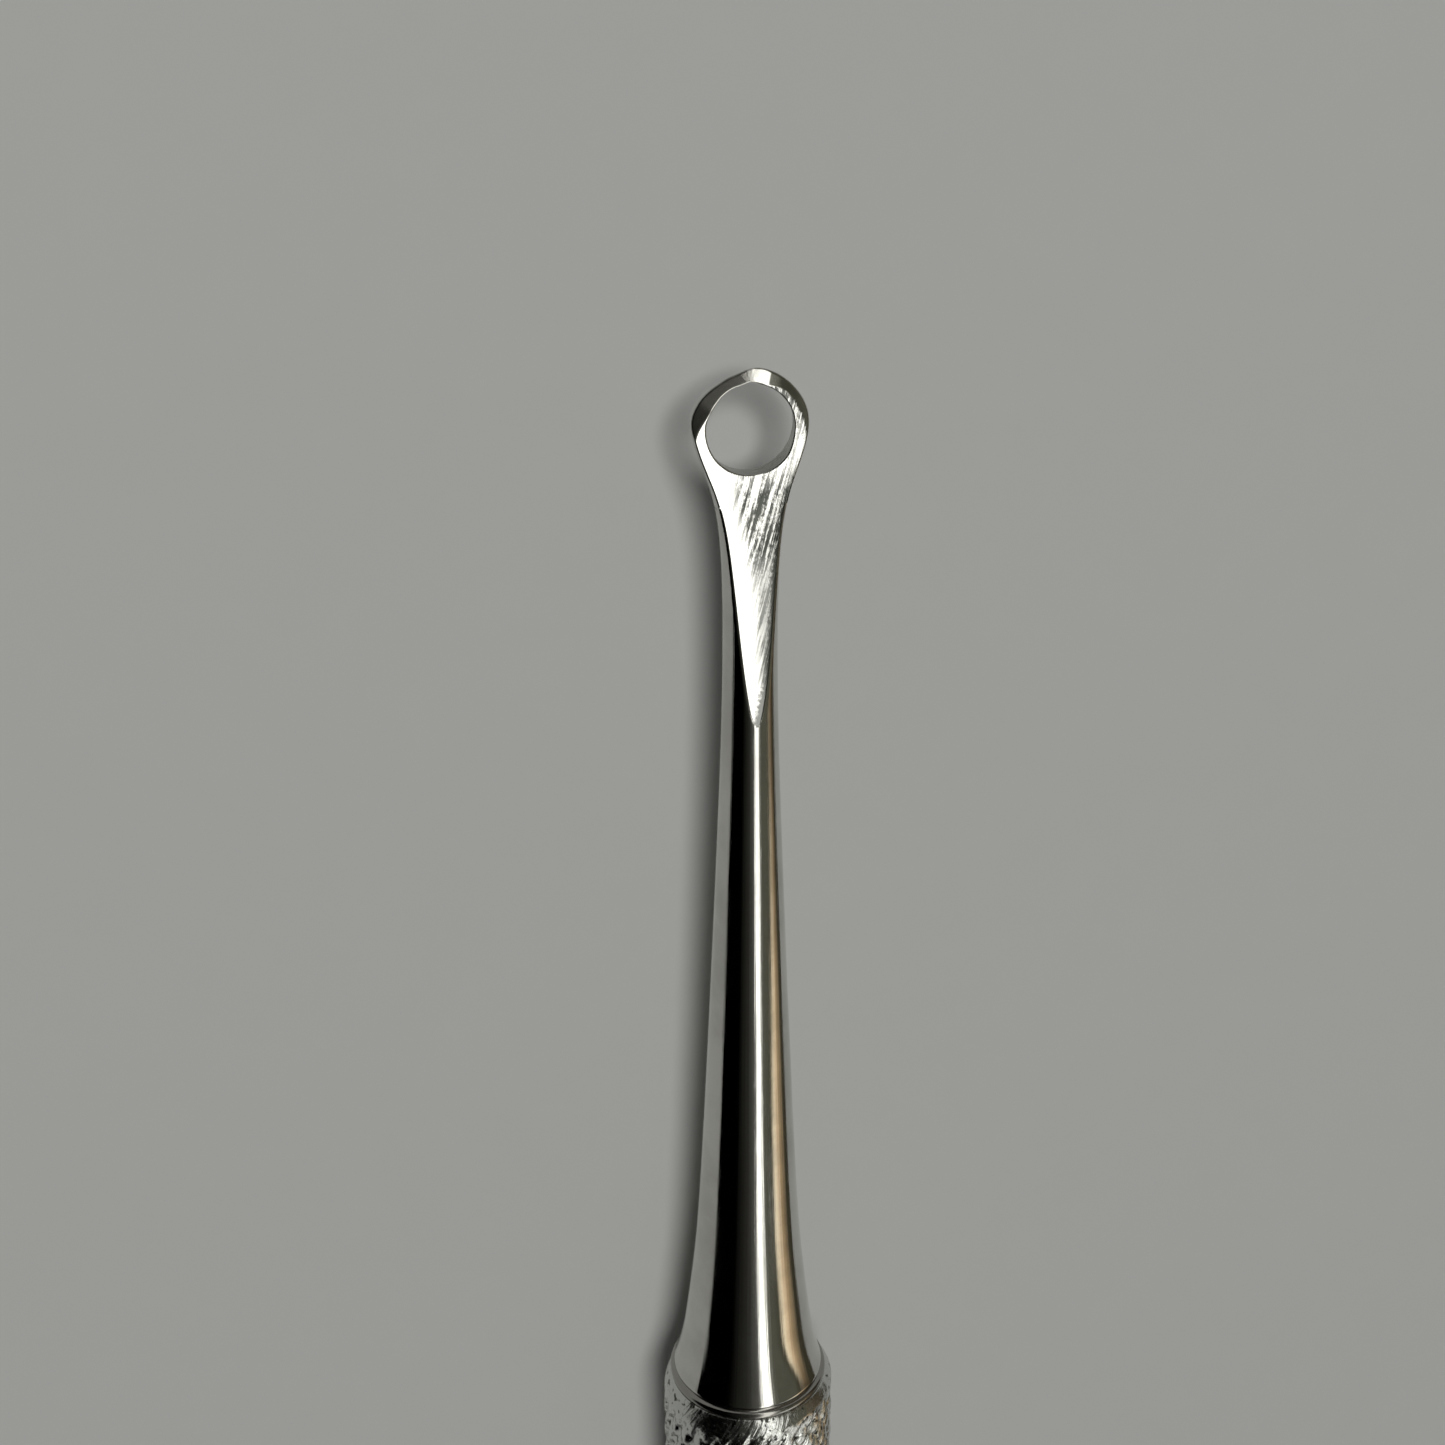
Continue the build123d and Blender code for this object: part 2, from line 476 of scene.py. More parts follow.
def base_profile():
    """(s, r) of the groove, bead, shoulder and spigot at the base of the flare."""
    groove = [
        (CONE_END_S, GROOVE_R + 0.035), (CONE_END_S + 0.03, GROOVE_R + 0.005), (CONE_END_S + 0.06, GROOVE_R),
        (CONE_END_S + 0.10, GROOVE_R), (CONE_END_S + 0.13, GROOVE_R + 0.02),
    ]
    bead = [
        (SEAM_S - BEAD_BACK - BEAD_L * math.cos(a), SEAM_R - BEAD_H + BEAD_H * math.sin(a))
        for a in np.linspace(0.15, math.pi - 0.15, 11)
    ]
    shoulder = [(SEAM_S - 0.005, SEAM_R - 0.10), (SEAM_S, SEAM_R - 0.12), (SEAM_S, SPIGOT_R + 0.02)]
    spigot = [
        (SEAM_S, SPIGOT_R), (SEAM_S + 0.02, SPIGOT_R), (SPIGOT_END_S - 0.2, SPIGOT_R),
        (SPIGOT_END_S - 0.02, SPIGOT_R - 0.16), (SPIGOT_END_S, SPIGOT_R - 0.18),
        (SPIGOT_END_S, STUD_R - 0.2), (SPIGOT_END_S + 0.02, STUD_R - 0.28),
    ]
    return groove + bead + shoulder + spigot


def thread_profile(angle):
    """(s, radii) of the stud's thread, one entry for each step along it."""
    profile = []
    for s in np.arange(SPIGOT_END_S + 0.2, STUD_END_S - 0.35, THREAD_STEP):
        turn = (s - SPIGOT_END_S) / THREAD_PITCH + angle / (2 * math.pi)
        tooth = 1 - np.abs(2 * (turn % 1) - 1)
        profile.append((s, STUD_R - THREAD_PLAY - THREAD_DEPTH * (1 - np.clip(1.3 * tooth, 0, 1))))
    return profile


# ---------------------------------------------------------------- knurled grip, in mm
STARTS = 28
STEPS = 3
HELIX = math.radians(30.0)
KNURL_DEPTH = 0.20

# walls of the two families of grooves, as fractions of their spacing, and how much less the second one cuts
STEEP_WALLS = (0.18, 0.62)
FAINT_WALLS = (0.30, 0.30)
FAINT_SHARE = 0.40

# wear: how far crests are dented and worn down, how rough they are, how far the grooves wander, and the
# size of the patches in which wear and wander change
DENT, WEAR, GRIT = 0.014, 0.010, 0.005
WANDER = 0.07
WEAR_CELL, WANDER_CELL = 5.0, 1.3

FRONT_CHAMFER_L = 0.74
CHAMFER_UNEVEN = 0.30
CHAMFER_BULGE = 0.18
BAND_L = 10.0
RELIEF_L = 0.8
RELIEF_R = 3.20
REAR_CHAMFER = 0.25
BORE_R = 2.50


def smooth_noise(s, angle, cell, seed):
    """Smooth values in -1..1 that wrap round the grip: a few sine waves with seeded phases."""
    local = np.random.default_rng(seed)
    total = np.zeros(np.broadcast(s, angle).shape)
    for _ in range(6):
        around = local.integers(1, max(2, int(2 * math.pi * GRIP_R / cell)))
        along = local.uniform(-1, 1) * 2 * math.pi / cell
        total += np.sin(around * angle + along * s + local.uniform(0, 2 * math.pi))
    return total / 6


def trough(family, rise, fall):
    """1 at the bottom of each groove of a family, 0 on the crest between its two walls."""
    return 1 - np.clip(np.minimum(family % 1 / rise, (1 - family % 1) / fall), 0, 1)


def build_grip():
    period = 2 * STEPS
    around = STARTS * period
    pitch = 2 * math.pi * GRIP_R / STARTS
    start = SEAM_S + FRONT_CHAMFER_L
    end = REAR_S - BAND_L - RELIEF_L
    rows = int((end - start) / (pitch / math.tan(HELIX) / period))
    row = (end - start) / rows
    i = np.arange(around)[None]
    j = np.arange(rows + 1)[:, None]
    angle = 2 * math.pi * i / around + 0 * j
    s = start + row * j + CHAMFER_UNEVEN * np.sin(angle) * (1 - j / rows)

    up, down = (i + j) / period, (i - j) / period
    steep, faint = trough(down, *STEEP_WALLS), trough(up, *FAINT_WALLS)
    crest = 1 - np.clip(np.maximum(steep, FAINT_SHARE * faint) + 0.35 * steep * faint, 0, 1.2)
    cells = rng.normal(0, 1, (4 * STARTS, 4 * STARTS + rows // period + 8))
    cell = cells[np.floor(up).astype(int) % STARTS, np.floor(down).astype(int) % cells.shape[1]]
    worn = 0.5 + 0.5 * smooth_noise(s, angle, WEAR_CELL, 3)
    depth = KNURL_DEPTH * (1 - 0.25 * worn) * (1 + 0.15 * np.clip(cell, -2, 2))
    fade = np.clip(row * j / 0.3, 0.5, 1) * np.clip((end - s) / 0.5, 0.0, 1)
    grit = rng.normal(0, 1, s.shape)
    height = -depth * fade * (1 - crest) - DENT * np.clip(cell, 0, 2) * crest - WEAR * worn
    height -= GRIT * np.clip(grit, -1, 3)
    radius = GRIP_R + np.minimum(height, 0)
    wander = WANDER * smooth_noise(s, angle, WANDER_CELL, 5) / GRIP_R
    slide = WANDER * smooth_noise(s, angle, WANDER_CELL, 9)
    hold = np.clip(row * j / 0.4, 0, 1) * np.clip((end - s) / 0.4, 0, 1)
    knurl = place(s + slide * hold, radius * np.sin(angle + wander), radius * np.cos(angle + wander))

    ring = angle[0]

    def turned(profile):
        return [place(a, r * np.sin(ring), r * np.cos(ring)) for a, r in profile]

    chamfer_r = GRIP_R - SEAM_R
    chamfer_l = FRONT_CHAMFER_L + CHAMFER_UNEVEN * np.sin(ring)
    front = [
        (SEAM_S, BORE_R), (SEAM_S, BORE_R + 0.03), (SEAM_S, SEAM_R - 0.03), (SEAM_S + 0.012, SEAM_R + 0.005),
    ]
    for t in (0.15, 0.35, 0.6, 0.85):
        rise = chamfer_r * (t + CHAMFER_BULGE * math.sin(math.pi * t))
        front.append((SEAM_S + chamfer_l * t, SEAM_R + rise - 0.01))
    band = REAR_S - BAND_L
    chamfer = REAR_S - REAR_CHAMFER
    rear = [
        (end + 0.04, GRIP_R - 0.05), (end + 0.06, GRIP_R - 0.10), (end + 0.08, RELIEF_R + 0.02),
        (end + 0.12, RELIEF_R), (band - 0.12, RELIEF_R), (band - 0.08, RELIEF_R + 0.02),
        (band - 0.02, BAND_R - 0.04), (band + 0.02, BAND_R),
        *((band + t, BAND_R) for t in np.linspace(0.3, BAND_L - REAR_CHAMFER - 0.3, 12)),
        (chamfer - 0.02, BAND_R), (chamfer + 0.03, BAND_R - 0.03),
        (REAR_S - 0.03, BAND_R - REAR_CHAMFER + 0.03), (REAR_S, BAND_R - REAR_CHAMFER),
        (REAR_S, BORE_R + 0.03), (REAR_S, BORE_R), (REAR_S - 0.05, BORE_R), (SEAM_S + 0.05, BORE_R),
    ]
    blocks = np.vstack([np.array(turned(front)), knurl, np.array(turned(rear))])
    points = blocks.reshape(-1, 3)
    loops = np.arange(len(points)).reshape(blocks.shape[:2])
    first = len(front)
    last = first + rows
    quads = ring_faces(np.vstack([loops, loops[:1]])).reshape(len(loops), around, 4)

    # the knurl is split along its grooves: down one diagonal or the other, whichever family is lower
    faces, slots = [], []
    column = np.arange(around)
    for k, ring_quads in enumerate(quads):
        if not first <= k < last:
            faces += [tuple(q) for q in ring_quads]
            slots += [1 if k >= last else 0] * around
            continue
        mid_up = (column + k - first + 1) / period
        mid_down = (column - k + first) / period
        low_up = np.minimum(mid_up % 1, 1 - mid_up % 1)
        low_down = np.minimum(mid_down % 1, 1 - mid_down % 1)
        for up_is_lower, (a, b, d, e) in zip(low_up < low_down, ring_quads):
            if up_is_lower:
                faces += [(a, b, e), (b, d, e)]
            else:
                faces += [(a, b, d), (a, d, e)]
        slots += [0] * (2 * around)
    obj = mesh_object("grip_knurled", points, faces, [knurled_steel(), turned_steel()], slots)
    pit = obj.data.attributes.new("pit", "FLOAT", "POINT")
    values = np.zeros(len(points))
    values[first * around : (last + 1) * around] = (steep * faint).reshape(-1)
    pit.data.foreach_set("value", values.astype(np.float32))
    return obj


# ---------------------------------------------------------------- materials
# scales of noise are per metre
def new_material(name):
    mat = bpy.data.materials.new(name)
    mat.use_nodes = True
    nodes, links = mat.node_tree.nodes, mat.node_tree.links
    return mat, nodes, links, nodes["Principled BSDF"]


def tool_coordinates(nodes, links):
    """Sockets for the place, the metres along the tool and the angle round it, which marks follow."""
    where = nodes.new("ShaderNodeTexCoord").outputs["Object"]
    split = nodes.new("ShaderNodeSeparateXYZ")
    links.new(where, split.inputs[0])
    up = nodes.new("ShaderNodeMath")
    up.operation = "SUBTRACT"
    up.inputs[1].default_value = AXIS_Z * MM
    links.new(split.outputs["Z"], up.inputs[0])
    turn = nodes.new("ShaderNodeMath")
    turn.operation = "ARCTAN2"
    links.new(split.outputs["Y"], turn.inputs[0])
    links.new(up.outputs[0], turn.inputs[1])
    return where, split.outputs["X"], turn.outputs[0]


def combine(nodes, links, x, y=None, z=None):
    vector = nodes.new("ShaderNodeCombineXYZ")
    for socket, value in zip(vector.inputs, (x, y, z)):
        if value is not None:
            links.new(value, socket)
    return vector.outputs[0]


def scaled(nodes, links, socket, factor):
    node = nodes.new("ShaderNodeMath")
    node.operation = "MULTIPLY"
    node.inputs[1].default_value = factor
    links.new(socket, node.inputs[0])
    return node.outputs[0]


def noise(nodes, links, vector, scale=1.0, detail=3.0, rough=0.5):
    node = nodes.new("ShaderNodeTexNoise")
    node.inputs["Scale"].default_value = scale
    node.inputs["Detail"].default_value = detail
    node.inputs["Roughness"].default_value = rough
    links.new(vector, node.inputs["Vector"])
    return node.outputs["Fac"]


def remap(nodes, links, socket, low, high, from_low=0.3, from_high=0.7):
    node = nodes.new("ShaderNodeMapRange")
    node.inputs["From Min"].default_value = from_low
    node.inputs["From Max"].default_value = from_high
    node.inputs["To Min"].default_value = low
    node.inputs["To Max"].default_value = high
    links.new(socket, node.inputs["Value"])
    return node.outputs[0]


def bump(nodes, links, height, strength, distance_mm, after=None):
    node = nodes.new("ShaderNodeBump")
    node.inputs["Strength"].default_value = strength
    node.inputs["Distance"].default_value = distance_mm * MM
    links.new(height, node.inputs["Height"])
    if after is not None:
        links.new(after, node.inputs["Normal"])
    return node.outputs[0]


def tinted(nodes, links, socket, dark, light, from_low=0.3, from_high=0.7):
    node = nodes.new("ShaderNodeValToRGB")
    node.color_ramp.elements[0].position = from_low
    node.color_ramp.elements[1].position = from_high
    node.color_ramp.elements[0].color = (*dark, 1)
    node.color_ramp.elements[1].color = (*light, 1)
    links.new(socket, node.inputs[0])
    return node.outputs[0]


STEEL = (0.66, 0.65, 0.62)
STEEL_DARK = (0.56, 0.55, 0.52)
BORE_DARK = (0.40, 0.40, 0.37)
KNURL_STEEL = (0.64, 0.645, 0.625)
PIT_DARK = (0.20, 0.19, 0.17)
SPOT_DARK = (0.12, 0.12, 0.11)


def polished_steel():
    """The blank: faint waves along it, faint turning marks, dimples and smears."""
    mat, nodes, links, shader = new_material("polished_steel")
    shader.inputs["Metallic"].default_value = 1
    where, along, turn = tool_coordinates(nodes, links)
    drawn_out = combine(nodes, links, scaled(nodes, links, along, 90), scaled(nodes, links, turn, 22))
    lengthwise = noise(nodes, links, drawn_out, 1.0, 4, 0.6)
    turning = noise(nodes, links, combine(nodes, links, scaled(nodes, links, along, 9000)), 1.0, 2, 0.5)
    smears = noise(nodes, links, where, 420, 5, 0.62)
    links.new(tinted(nodes, links, smears, STEEL_DARK, STEEL, 0.38, 0.62), shader.inputs["Base Color"])
    links.new(remap(nodes, links, smears, 0.12, 0.05, 0.38, 0.62), shader.inputs["Roughness"])
    dimples = noise(nodes, links, where, 1700, 2, 0.5)
    first = bump(nodes, links, lengthwise, 0.35, 0.010)
    second = bump(nodes, links, dimples, 0.12, 0.010, first)
    links.new(bump(nodes, links, turning, 0.05, 0.002, second), shader.inputs["Normal"])
    return mat


def streaks(nodes, links, where, lean_deg, along, across, detail=3):
    """Noise drawn out along the tool, leaning towards -Y: along and across are its scales per metre."""
    node = nodes.new("ShaderNodeMapping")
    node.vector_type = "TEXTURE"
    node.inputs["Rotation"].default_value = (0, 0, math.radians(-lean_deg))
    node.inputs["Scale"].default_value = (1 / along, 1 / across, 1 / along)
    links.new(where, node.inputs["Vector"])
    return noise(nodes, links, node.outputs[0], 1.0, detail, 0.6)


def multiply(nodes, links, a, b):
    node = nodes.new("ShaderNodeMath")
    node.operation = "MULTIPLY"
    links.new(a, node.inputs[0])
    links.new(b, node.inputs[1])
    return node.outputs[0]


def weighted(nodes, links, a, weight, b):
    """Socket a times a weight, plus socket b."""
    node = nodes.new("ShaderNodeMath")
    node.operation = "MULTIPLY_ADD"
    links.new(a, node.inputs[0])
    node.inputs[1].default_value = weight
    links.new(b, node.inputs[2])
    return node.outputs[0]


def graded(nodes, links, along, stops):
    """A value 0..1 that changes along the tool, from (s in mm, value) stops."""
    first, last = stops[0][0], stops[-1][0]
    ramp = nodes.new("ShaderNodeValToRGB")
    links.new(remap(nodes, links, along, 0, 1, (HOLE_X - first) * MM, (HOLE_X - last) * MM), ramp.inputs[0])
    while len(ramp.color_ramp.elements) < len(stops):
        ramp.color_ramp.elements.new(1.0)
    for element, (s, value) in zip(ramp.color_ramp.elements, stops):
        element.position = (s - first) / (last - first)
        element.color = (value, value, value, 1)
    return ramp.outputs[0]


# along the face, by s: where its worn part begins (Y in mm, plus 0.3), how dark its scratches are, the
# painted shade between them, how much of it they cover, and the painted shade along its -Y edge, where the
# face rolls over
WORN_EDGE = [(-2.0, 0.9), (1.8, 1.0), (4.0, 0.66), (6.2, 0.36), (8.5, 0.32), (9.8, 0.12), (10.5, 0.0)]
SCRATCH_DARK = [
    (-2.0, 0.95), (-0.2, 0.9), (0.5, 0.55), (1.4, 0.7), (2.2, 1.0), (4.0, 0.95), (5.2, 0.32), (10.5, 0.12),
]
SHADE_BETWEEN_SCRATCHES = [(-2.0, 0.0), (3.6, 0.0), (5.6, 0.50), (8.0, 0.72), (10.5, 0.76)]
COVER = [
    (-2.0, 0.8), (-0.2, 0.7), (0.5, 0.0), (1.5, 0.1), (2.6, 0.5), (4.2, 0.4), (6.0, 0.0), (10.5, 0.0),
]
RIM_SHADE = [(0.0, 0.0), (1.0, 0.0), (2.2, 0.9), (4.6, 0.92), (5.4, 0.86), (10.5, 0.86)]
RIM_S = (1.0, 2.0, 3.0, 4.7, 6.0, 7.5, 9.0, 10.4)
# the dark tint serves both the scratches and the painted shade
FACE_BRIGHT, FACE_SCRATCH_AND_SHADE = (0.80, 0.79, 0.77), (0.06, 0.064, 0.057)


def ground_steel():
    """Face off the grinding wheel: hardly marked at +Y, deeply scratched and a little rougher towards -Y,
    and painted darker there and along its -Y edge: painted shade.
    """
    mat, nodes, links, shader = new_material("ground_steel")
    shader.inputs["Metallic"].default_value = 1
    where, along, _ = tool_coordinates(nodes, links)
    split = nodes.new("ShaderNodeSeparateXYZ")
    links.new(where, split.inputs[0])
    y_mm = scaled(nodes, links, split.outputs["Y"], 1 / MM)
    coarse = streaks(nodes, links, where, 17, 450, 7000, 4)
    fine = streaks(nodes, links, where, 15, 900, 24000, 2)
    speck = noise(nodes, links, where, 7000, 3, 0.6)

    from_edge = weighted(nodes, links, graded(nodes, links, along, WORN_EDGE), -1, y_mm)
    from_edge = weighted(nodes, links, coarse, 0.9, from_edge)
    worn = remap(nodes, links, from_edge, 1.0, 0.0, -0.15, 0.30)

    lines = weighted(nodes, links, fine, 0.3, scaled(nodes, links, coarse, 0.5))
    lines = weighted(nodes, links, speck, 0.2, lines)
    lines = weighted(nodes, links, graded(nodes, links, along, COVER), -0.045, lines)
    cut = remap(nodes, links, lines, 1.0, 0.0, 0.455, 0.525)
    cut = multiply(nodes, links, cut, graded(nodes, links, along, SCRATCH_DARK))
    # painted shade: the worn part is darkened between the scratches as well as along them
    dark = multiply(nodes, links, worn, weighted(nodes, links, graded(nodes, links, along, SHADE_BETWEEN_SCRATCHES), 1, cut))

    # painted shade: a dark band along the face's -Y edge, where it rolls over
    half_width = [(s, math.sqrt(float(blank_radius(s)) ** 2 - float(face_z(s)) ** 2) / 2) for s in RIM_S]
    from_rim = weighted(nodes, links, graded(nodes, links, along, half_width), 2, y_mm)
    from_rim = weighted(nodes, links, speck, 0.5, from_rim)
    rim = remap(nodes, links, from_rim, 1.0, 0.0, 0.40, 0.58)
    rim = multiply(nodes, links, rim, graded(nodes, links, along, RIM_SHADE))
    either = nodes.new("ShaderNodeMath")
    either.operation = "MAXIMUM"
    links.new(dark, either.inputs[0])
    links.new(rim, either.inputs[1])

    colour = tinted(nodes, links, either.outputs[0], FACE_BRIGHT, FACE_SCRATCH_AND_SHADE, 0.0, 1.0)
    links.new(colour, shader.inputs["Base Color"])
    links.new(remap(nodes, links, worn, 0.07, 0.16, 0.0, 1.0), shader.inputs["Roughness"])
    relief = multiply(nodes, links, worn, lines)
    relief = multiply(nodes, links, relief, graded(nodes, links, along, SCRATCH_DARK))
    first = bump(nodes, links, relief, 0.9, 0.014)
    links.new(bump(nodes, links, fine, 0.12, 0.003, first), shader.inputs["Normal"])
    return mat


def bored_steel():
    """Wall of the hole: duller, with marks that run round it."""
    mat, nodes, links, shader = new_material("bored_steel")
    shader.inputs["Metallic"].default_value = 1
    where, _, _ = tool_coordinates(nodes, links)
    marks = nodes.new("ShaderNodeMapping")
    marks.inputs["Scale"].default_value = (1200, 1200, 16000)
    links.new(where, marks.inputs["Vector"])
    lines = noise(nodes, links, marks.outputs[0], 1.0, 3, 0.6)
    links.new(tinted(nodes, links, lines, BORE_DARK, STEEL_DARK), shader.inputs["Base Color"])
    links.new(remap(nodes, links, lines, 0.22, 0.36), shader.inputs["Roughness"])
    links.new(bump(nodes, links, lines, 0.3, 0.005), shader.inputs["Normal"])
    return mat


def knurled_steel():
    """Knurl: dark where its grooves cross, with dark spots and a rough grain."""
    mat, nodes, links, shader = new_material("knurled_steel")
    shader.inputs["Metallic"].default_value = 1
    where, along, turn = tool_coordinates(nodes, links)
    pit = nodes.new("ShaderNodeAttribute")
    pit.attribute_name = "pit"
    clean = tinted(nodes, links, pit.outputs["Fac"], KNURL_STEEL, PIT_DARK, 0.35, 1.0)
    spots = noise(nodes, links, where, 3800, 2, 0.5)
    spots = tinted(nodes, links, spots, SPOT_DARK, (1, 1, 1), 0.34, 0.39)
    spotted = nodes.new("ShaderNodeVectorMath")
    spotted.operation = "MULTIPLY"
    links.new(clean, spotted.inputs[0])
    links.new(spots, spotted.inputs[1])
    links.new(spotted.outputs[0], shader.inputs["Base Color"])
    grain = noise(nodes, links, where, 5200, 4, 0.6)
    links.new(remap(nodes, links, grain, 0.14, 0.30), shader.inputs["Roughness"])

    # finer ridges inside each leaning ridge of the knurl
    leaning = weighted(nodes, links, turn, GRIP_R, scaled(nodes, links, along, math.tan(HELIX) / MM))
    across, length = scaled(nodes, links, leaning, 4.0), scaled(nodes, links, along, 0.7 / MM)
    ridges = noise(nodes, links, combine(nodes, links, across, length), 1.0, 3, 0.6)
    first = bump(nodes, links, ridges, 0.8, 0.045)
    links.new(bump(nodes, links, grain, 0.5, 0.02, first), shader.inputs["Normal"])
    return mat


def turned_steel(name="turned_steel", dark=STEEL_DARK, light=STEEL):
    """Steel off the lathe: fine rings round it, and smears between a dark and a light tint."""
    mat, nodes, links, shader = new_material(name)
    shader.inputs["Metallic"].default_value = 1
    where, along, _ = tool_coordinates(nodes, links)
    rings = noise(nodes, links, combine(nodes, links, scaled(nodes, links, along, 14000)), 1.0, 2, 0.6)
    smears = noise(nodes, links, where, 300, 3, 0.5)
    links.new(tinted(nodes, links, smears, dark, light), shader.inputs["Base Color"])
    links.new(remap(nodes, links, smears, 0.16, 0.26), shader.inputs["Roughness"])
    links.new(bump(nodes, links, rings, 0.3, 0.004), shader.inputs["Normal"])
    return mat


# ---------------------------------------------------------------- build the pieces
tip = build_tip()
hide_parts("ring_tip")
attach(tip, "root")

grip = build_grip()
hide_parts("grip_tube")
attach(grip, "root")

for node in ("socket_bush", "end_plug"):
    mesh = frame["nodes"][node].data
    mesh.materials.clear()
    mesh.materials.append(turned_steel())


# ---------------------------------------------------------------- floor
FLOOR_GREY = (0.62, 0.625, 0.595)

# half the width of the floor and half the length of the sheets that glow, in metres
STAGE = 3.0


def build_floor():
    mesh = bpy.data.meshes.new("floor")
    corners = [(-STAGE, -STAGE, 0), (STAGE, -STAGE, 0), (STAGE, STAGE, 0), (-STAGE, STAGE, 0)]
    mesh.from_pydata(corners, [], [(0, 1, 2, 3)])
    mat, nodes, links, shader = new_material("floor_paper")
    where = nodes.new("ShaderNodeTexCoord").outputs["Object"]
    fibre = noise(nodes, links, where, 420, 4, 0.6)
    low = tuple(c * 0.99 for c in FLOOR_GREY)
    links.new(tinted(nodes, links, fibre, low, FLOOR_GREY), shader.inputs["Base Color"])
    shader.inputs["Roughness"].default_value = 0.9
    shader.inputs["Specular IOR Level"].default_value = 0.1
    mesh.materials.append(mat)
    floor = bpy.data.objects.new("floor", mesh)
    bpy.context.scene.collection.objects.link(floor)


build_floor()

# ---------------------------------------------------------------- light
# A tent over the tool, seen only in reflections. GLOW gives its colour by the angle in degrees from
# straight up towards -Y: black, a dim rise, the white strip, shade, then a lit copper-coloured surface.
TENT_R = 0.5
TENT_FROM, TENT_TO = -90, 85
STRIP = (5.5, 18.5)
SHADE_FROM = 27
COPPER_FROM = 45
STRIP_WHITE = (2.1, 2.1, 2.0)
GLOW = [
    (TENT_FROM, (0.0, 0.0, 0.0)), (-42, (0.0, 0.0, 0.0)), (-15, (0.03, 0.03, 0.026)),
    (1, (0.11, 0.11, 0.10)), (4, (0.3, 0.3, 0.28)), (STRIP[0], STRIP_WHITE), (STRIP[1], STRIP_WHITE),
    (20, (0.30, 0.30, 0.26)), (SHADE_FROM, (0.11, 0.11, 0.085)), (COPPER_FROM, (0.065, 0.060, 0.04)),
    (50, (1.25, 1.08, 0.78)), (60, (0.95, 0.72, 0.46)), (70, (0.46, 0.33, 0.19)),
    (80, (0.27, 0.21, 0.13)), (TENT_TO, (0.08, 0.07, 0.045)),
]
GLOW_ANGLES = [angle for angle, _ in GLOW]
GLOW_COLOURS = np.array([colour for _, colour in GLOW])

# What changes along the tent, each between two stations in metres. At the grip's end a pale window stands
# in for the copper; from there towards the tip the copper leans away and dims; past the ring the strip is
# wider and the shade deeper.
LEAN_DEG, LEAN_X = 19, (-0.26, -0.15)
DIM_TO, DIM_X = 0.15, (-0.23, -0.13)
WIDER_DEG, WIDER_X = 2.0, (0.05, 0.15)
DEEPER_TO = 0.6
GRIP_DIM_TO, GRIP_X = 0.15, (-0.28, -0.32)
WINDOW, WINDOW_DEG = np.array((0.95, 0.95, 0.90)), (32, 66)
TENT_X = (-STAGE, -0.9, -0.45, *np.arange(-0.32, -0.10, 0.01), 0.05, 0.15, STAGE)

# a low dark sheet along the -Y side, which shows as the dark line between the copper and the floor
SOOT = (0.05, 0.045, 0.03)
SKIRT_Y = 0.033
SKIRT_Z = (0.0003, 0.008)


def part_way(value, ends):
    return np.clip((value - ends[0]) / (ends[1] - ends[0]), 0, 1)


def tent_colour(degrees, x):
    """Colour of the tent at an angle from straight up and a station along the tool."""
    wider = part_way(x, WIDER_X)
    near_grip = part_way(x, GRIP_X)
    if degrees < SHADE_FROM:
        strip_end = STRIP[1] + WIDER_DEG * wider
        stations = (TENT_FROM, STRIP[0], strip_end, SHADE_FROM)
        at = np.interp(degrees, stations, (TENT_FROM, *STRIP, SHADE_FROM))
    else:
        lean = LEAN_DEG * part_way(x, LEAN_X)
        squeeze = (TENT_TO - COPPER_FROM) / (TENT_TO - COPPER_FROM - lean)
        at = np.clip((degrees - COPPER_FROM - lean) * squeeze + COPPER_FROM, SHADE_FROM, TENT_TO)
    level = 1
    if SHADE_FROM < degrees < COPPER_FROM:
        level = 1 - (1 - DEEPER_TO) * wider
    if at > COPPER_FROM:
        level = (1 - (1 - DIM_TO) * part_way(x, DIM_X)) * (1 - (1 - GRIP_DIM_TO) * near_grip)
    colour = level * np.array([np.interp(at, GLOW_ANGLES, channel) for channel in GLOW_COLOURS.T])
    if WINDOW_DEG[0] < degrees < WINDOW_DEG[1]:
        colour = colour + (WINDOW - colour) * near_grip
    return colour


def glow_sheet(name, points, stations, colour):
    """Sheet through (y, z) points and x stations that glows in colour(point number, x)."""
    corners = [(x, y, z) for y, z in points for x in stations]
    wide = len(stations)
    faces = [
        (k * wide + m, k * wide + m + 1, (k + 1) * wide + m + 1, (k + 1) * wide + m)
        for k in range(len(points) - 1)
        for m in range(wide - 1)
    ]
    mesh = bpy.data.meshes.new(name)
    mesh.from_pydata(corners, [], faces)
    tint = mesh.attributes.new("glow", "FLOAT_VECTOR", "POINT")
    values = [colour(k, x) for k in range(len(points)) for x in stations]
    tint.data.foreach_set("vector", np.array(values, np.float32).ravel())
    mat = bpy.data.materials.new(name)
    mat.use_nodes = True
    nodes, links = mat.node_tree.nodes, mat.node_tree.links
    nodes.clear()
    glow = nodes.new("ShaderNodeEmission")
    read = nodes.new("ShaderNodeAttribute")
    read.attribute_name = "glow"
    links.new(read.outputs["Vector"], glow.inputs["Color"])
    links.new(glow.outputs[0], nodes.new("ShaderNodeOutputMaterial").inputs["Surface"])
    mesh.materials.append(mat)
    card = bpy.data.objects.new(name, mesh)
    bpy.context.scene.collection.objects.link(card)
    card.visible_camera = False
    card.visible_diffuse = False
    card.visible_shadow = False
    card.visible_transmission = False


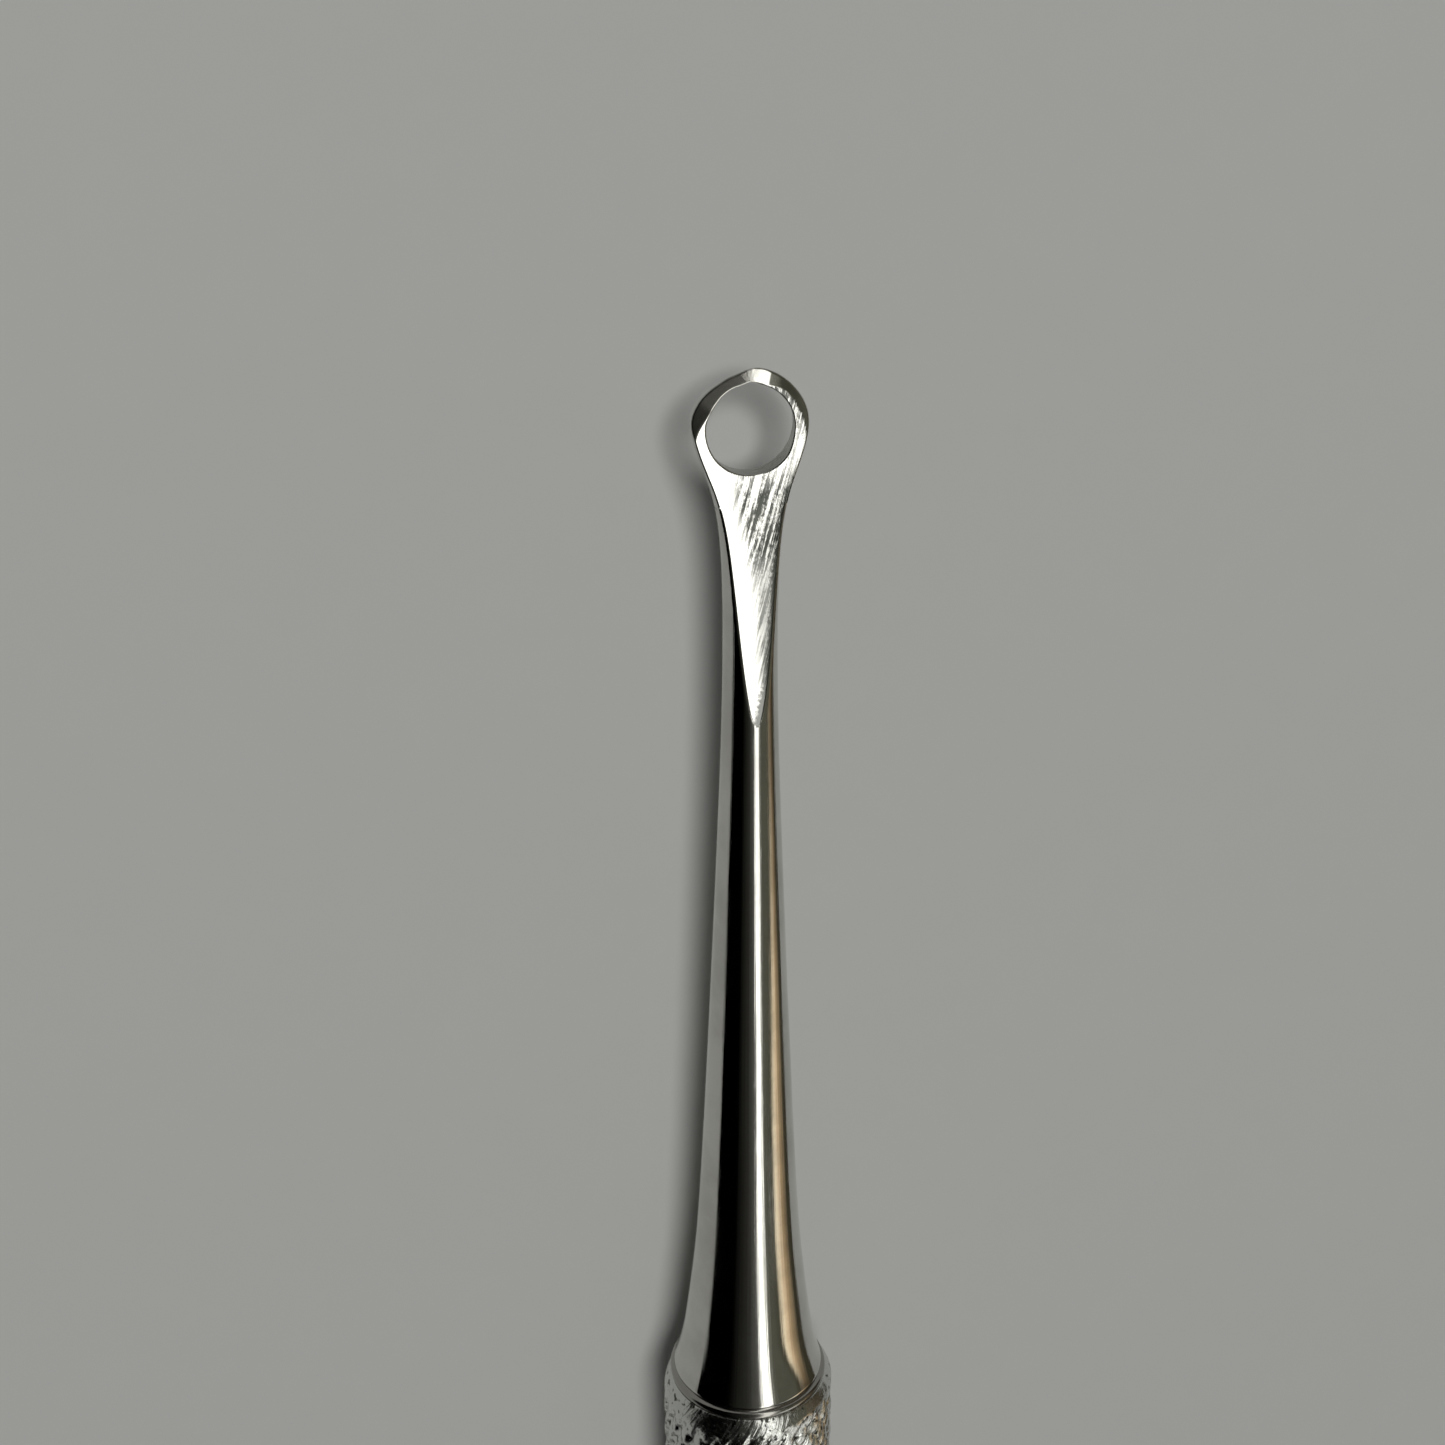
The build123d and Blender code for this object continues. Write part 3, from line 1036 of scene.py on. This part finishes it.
tent_angles = np.arange(TENT_FROM, TENT_TO + 0.1, 0.5)
arch = [(-TENT_R * math.sin(math.radians(a)), TENT_R * math.cos(math.radians(a))) for a in tent_angles]
glow_sheet("light_tent", arch, TENT_X, lambda k, x: tent_colour(tent_angles[k], x))
glow_sheet("light_skirt", [(-SKIRT_Y, z) for z in SKIRT_Z], (-STAGE, STAGE), lambda k, x: SOOT)

KEY_FROM = Vector((1.30, 0.10, 3.5)).normalized()
KEY_AWAY, KEY_SIZE, KEY_POWER = 0.9, 0.34, 3.9
SKY_COLOUR, SKY_STRENGTH = (0.80, 0.81, 0.80, 1), 0.11


def build_key_light():
    """The one soft light, aimed at the floor under the ring; it makes the shadow, but no reflections."""
    data = bpy.data.lights.new("key", "AREA")
    data.shape = "DISK"
    data.size = KEY_SIZE
    data.energy = KEY_POWER
    light = bpy.data.objects.new("key", data)
    light.location = Vector((HOLE_X * MM, 0, 0)) + KEY_AWAY * KEY_FROM
    light.rotation_euler = (-KEY_FROM).to_track_quat("-Z", "Y").to_euler()
    light.visible_glossy = False
    bpy.context.scene.collection.objects.link(light)


def build_sky():
    world = bpy.data.worlds.new("studio")
    world.use_nodes = True
    sky = world.node_tree.nodes["Background"]
    sky.inputs["Color"].default_value = SKY_COLOUR
    sky.inputs["Strength"].default_value = SKY_STRENGTH
    bpy.context.scene.world = world


build_key_light()
build_sky()
bpy.context.scene.view_settings.view_transform = "Standard"

# ---------------------------------------------------------------- camera
# It looks down on the ground face from beyond the tip: tilted towards the tip, rolled towards +Y. The
# centre of the ring lies this many mm right, up and away in its view.
FOCAL_MM = 50.0
TILT = math.radians(24.47)
ROLL = math.radians(14.5)
SPIN = math.radians(-0.16)
RING_RIGHT, RING_UP, RING_AWAY = 0.94, 9.80, 66.74


def build_camera():
    straight_down = Matrix(((0, 1, 0), (-1, 0, 0), (0, 0, 1)))
    turn = Matrix.Rotation(-ROLL, 3, "X") @ Matrix.Rotation(TILT, 3, "Y") @ straight_down
    turn = turn @ Matrix.Rotation(SPIN, 3, "Z")
    right, up, back = turn.col
    ring = Vector((HOLE_X * MM, 0, AXIS_Z * MM))
    data = bpy.data.cameras.new("camera")
    data.lens = FOCAL_MM
    data.clip_start = 0.002
    data.clip_end = 20
    camera = bpy.data.objects.new("camera", data)
    offset = back * RING_AWAY - up * RING_UP - right * RING_RIGHT
    camera.matrix_world = Matrix.Translation(ring + offset * MM) @ turn.to_4x4()
    bpy.context.scene.collection.objects.link(camera)
    bpy.context.scene.camera = camera


build_camera()
